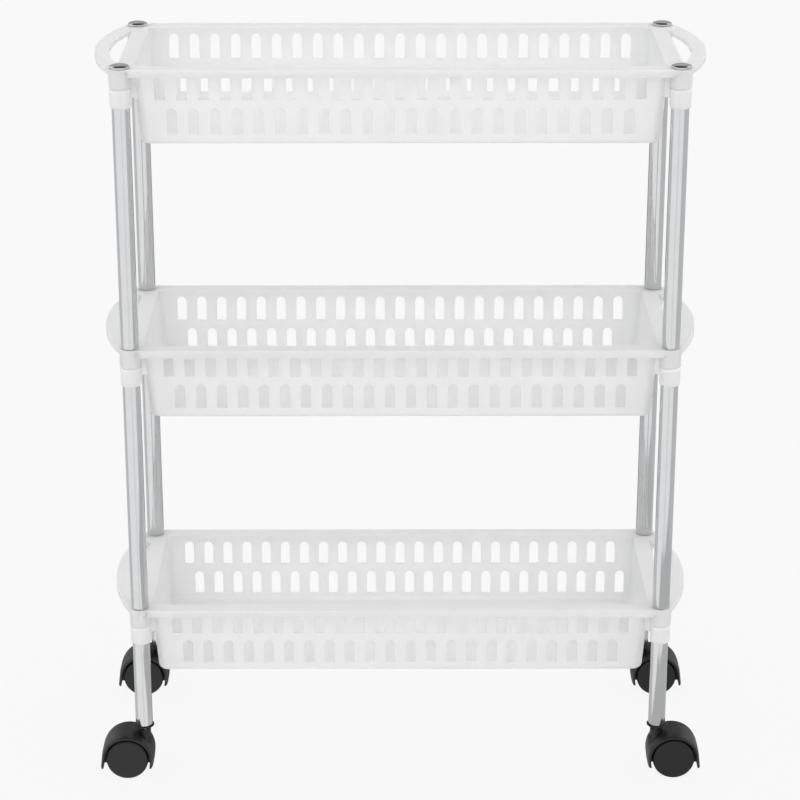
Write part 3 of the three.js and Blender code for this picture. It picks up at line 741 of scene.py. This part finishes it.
def hood_pocket(side):
    start, path = arch_path(HOOD_INNER, 2 * WHEEL_RADIUS, 48)
    bm = stand_up(plate(start, path, WEB_HALF, 2 * WHEEL_OUTER))
    if side > 0:
        move(bm, 0, WEB_HALF + 2 * WHEEL_OUTER)
    return rotate(bm, -HOOD_TILT, "Y")


def hood_neck():
    """The upright boss round the stem, which widens in a soft flare to its foot."""
    top = NECK_TOP - WHEEL_RADIUS
    flare_foot = top - NECK_STRAIGHT - NECK_FLARE
    steps = 6
    profile = [(0, 0), (NECK_FOOT_RADIUS, 0)]
    for step in range(steps + 1):
        share = step / steps
        ease = share * share * (3 - 2 * share)
        profile.append((NECK_FOOT_RADIUS + (NECK_RADIUS - NECK_FOOT_RADIUS) * ease,
                        flare_foot + NECK_FLARE * share))
    profile += [(NECK_RADIUS, top - NECK_EDGE), (NECK_RADIUS - NECK_EDGE, top), (0, top)]
    return move(turned(profile, 48), -AXLE_X, 0)


def make_hood(corner):
    name = f"caster_hood_{corner}"
    hood = to_object(f"{name}_shell", hood_shell())
    combine(hood, to_object("more", hood_neck()), "UNION")
    for side in (1, -1):
        combine(hood, to_object("cut", hood_pocket(side)), "DIFFERENCE")
    wide = 8 * HOOD_OUTER
    below = bar(wide, wide, -wide, HOOD_LOW - WHEEL_RADIUS)
    combine(hood, to_object("cut", below), "DIFFERENCE")
    neck_top = NECK_TOP - WHEEL_RADIUS
    hole = rod(STEM_HOLE_RADIUS, neck_top - STEM_IN_NECK - GAP, NECK_TOP, -AXLE_X, 0, 40)
    combine(hood, to_object("cut", hole), "DIFFERENCE")
    axle_hole = stand_up(rod(AXLE_BORE, -4 * WEB_HALF, 4 * WEB_HALF, 0, 0, 32))
    combine(hood, to_object("cut", axle_hole), "DIFFERENCE")
    bm = bmesh.new()
    bm.from_mesh(hood.data)
    bmesh.ops.remove_doubles(bm, verts=bm.verts, dist=SAME_POINT_AFTER_CUTS)
    bmesh.ops.dissolve_limit(bm, angle_limit=FLAT_ENOUGH, verts=bm.verts, edges=bm.edges)
    set_caster(bm, corner)
    bm.to_mesh(hood.data)
    bm.free()
    shade(hood, 30)
    soften(hood, 0.5 * MM, 3, 30)
    place(hood, f"caster_{corner}", HOOD_NYLON, name)


def axle_middle(corner):
    post = POSTS[corner]
    out = 1 if post.x > 0 else -1
    return post.x + out * AXLE_X, post.y, WHEEL_RADIUS


def set_caster(bm, corner):
    """Puts a shape built round the axle's middle at one corner, trailing outwards."""
    if POSTS[corner].x < 0:
        rotate(bm, math.pi, "Z")
    move(bm, *axle_middle(corner))


def make_wheel(corner, face):
    name = f"wheel_{corner}_{face}"
    edge = 2.2 * MM
    inner_edge = 0.8 * MM
    dome = 0.5 * MM
    bore_end = WHEEL_OUTER - 1.5 * MM
    profile = [(0, bore_end), (AXLE_BORE, bore_end), (AXLE_BORE, WHEEL_INNER),
               (WHEEL_RADIUS - inner_edge, WHEEL_INNER), (WHEEL_RADIUS, WHEEL_INNER + inner_edge)]
    steps = 8
    for step in range(steps + 1):
        angle = step / steps * math.pi / 2
        profile.append((WHEEL_RADIUS - edge + edge * math.cos(angle),
                        WHEEL_OUTER - dome - edge + edge * math.sin(angle)))
    profile += [(WHEEL_RADIUS * 0.7, WHEEL_OUTER - dome * 0.5),
                (WHEEL_RADIUS * 0.35, WHEEL_OUTER - dome * 0.12), (0, WHEEL_OUTER)]
    quarter_turn = -math.pi / 2 if face == "back" else math.pi / 2
    bm = rotate(turned(profile, 72), quarter_turn, "X")
    wheel = to_object(f"{name}_disc", move(bm, *axle_middle(corner)))
    shade(wheel, 30)
    place(wheel, name, WHEEL_NYLON, name)


for corner in CORNERS:
    make_tube(f"leg_tube_{corner}", corner)
    for tier in ("middle", "upper"):
        make_tube(f"post_tube_{tier}_{corner}", corner)
    for tier in TIERS:
        make_collar(tier, corner)
    make_cap(corner)
    make_plug(corner)
    make_stem(corner)
    make_hood(corner)
    for face in ("front", "back"):
        make_wheel(corner, face)
    for kept in (f"grip_ring_{corner}", f"axle_{corner}"):
        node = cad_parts[kept]
        node.data.materials.clear()
        node.data.materials.append(ZINC)


# ---- studio ----
FLOOR_SIZE = 60
FLOOR_GLOW = 0.9
SKY_GLOW = 1.18
SCREEN_RADIUS = 3.0
SCREEN_FOOT = -3
SIDE_SCREEN_HEAD = 0.6
BACK_SCREEN_FOOT = 1.1
BACK_SCREEN_MIDDLE = 3.3
BACK_SCREEN_HEAD = 4.5
CAMERA_LENS = 116.746
CAMERA_PLACE = (-0.00676, -2.28231, 1.19523)
CAMERA_DOWN = math.radians(20.451)
CAMERA_ROUND = math.radians(-0.16386)


def stage_material(name, colour, glow, strength):
    material, tree, surface = new_material(name)
    fit(tree, surface, {"Base Color": srgb(colour), "Roughness": 1.0, "Specular IOR Level": 0.0,
                        "Emission Color": srgb(glow), "Emission Strength": strength})
    return material


def stage_sheet(name, bm, material):
    sheet = to_object(name, bm)
    sheet.data.materials.append(material)
    return sheet


def reflection_card(name, bm, brightness):
    """A grey studio screen that only mirror-like surfaces see."""
    card = stage_sheet(name, bm, stage_material(f"{name}_cloth", "#000000", "#FFFFFF", brightness))
    card.visible_camera = False
    card.visible_diffuse = False
    card.visible_transmission = False
    card.visible_volume_scatter = False
    card.visible_shadow = False


def side_screen(first, last, low, high):
    """Part of an upright cylinder round the cart; angles in degrees run from -Y towards +X."""
    bm = bmesh.new()
    start = math.radians(first - 90)
    x, y = SCREEN_RADIUS * math.cos(start), SCREEN_RADIUS * math.sin(start)
    foot = bm.verts.new((x, y, low))
    head = bm.verts.new((x, y, high))
    edge = bm.edges.new((foot, head))
    bmesh.ops.spin(bm, geom=[foot, head, edge], cent=(0, 0, 0), axis=(0, 0, 1),
                   angle=math.radians(last - first), steps=16)
    return bm


def overhead_screen(size_x, near_y, far_y, height):
    bm = bmesh.new()
    bmesh.ops.create_grid(bm, x_segments=1, y_segments=1, size=0.5)
    bmesh.ops.scale(bm, verts=bm.verts, vec=(size_x, far_y - near_y, 1))
    return move(bm, 0, (near_y + far_y) / 2, height)


floor = stage_sheet("studio_floor",
                    overhead_screen(FLOOR_SIZE, -FLOOR_SIZE / 2, FLOOR_SIZE / 2, 0),
                    stage_material("studio_floor_paper", "#383838", "#FFFFFF", FLOOR_GLOW))
floor.visible_glossy = False

for name, first, last, low, high, brightness in (
        ("right_screen", 52, 150, SCREEN_FOOT, SIDE_SCREEN_HEAD, 0.75),
        ("left_screen", -150, -85, SCREEN_FOOT, SIDE_SCREEN_HEAD, 0.78),
        ("middle_screen", -7, 7, SCREEN_FOOT, SIDE_SCREEN_HEAD, 1.03),
        ("back_screen", 150, 210, BACK_SCREEN_FOOT, BACK_SCREEN_MIDDLE, 0.52),
        ("upper_back_screen", 150, 210, BACK_SCREEN_MIDDLE, BACK_SCREEN_HEAD, 0.1),
        ("lower_back_screen", 150, 210, SCREEN_FOOT, BACK_SCREEN_FOOT, 0.2)):
    reflection_card(name, side_screen(first, last, low, high), brightness)
reflection_card("overhead_screen", overhead_screen(8, -4, 3, 4.5), 0.08)
leg_screen = move(overhead_screen(0.9, -0.66, 0.3, -0.1), 0.45, 0)
reflection_card("leg_screen", leg_screen, 0.66)

world = bpy.data.worlds.new("studio")
bpy.context.scene.world = world
world.use_nodes = True
world.node_tree.nodes.clear()
sky = add(world.node_tree, "ShaderNodeBackground", None,
          {"Color": srgb("#FFFFFF"), "Strength": SKY_GLOW})
add(world.node_tree, "ShaderNodeOutputWorld", None, {"Surface": sky.outputs["Background"]})

bpy.context.scene.view_settings.view_transform = "Standard"

camera_data = bpy.data.cameras.new("camera")
camera_data.sensor_width = 36
camera_data.lens = CAMERA_LENS
camera = bpy.data.objects.new("camera", camera_data)
camera.location = CAMERA_PLACE
camera.rotation_euler = (math.pi / 2 - CAMERA_DOWN, 0, CAMERA_ROUND)
bpy.context.scene.collection.objects.link(camera)
bpy.context.scene.camera = camera
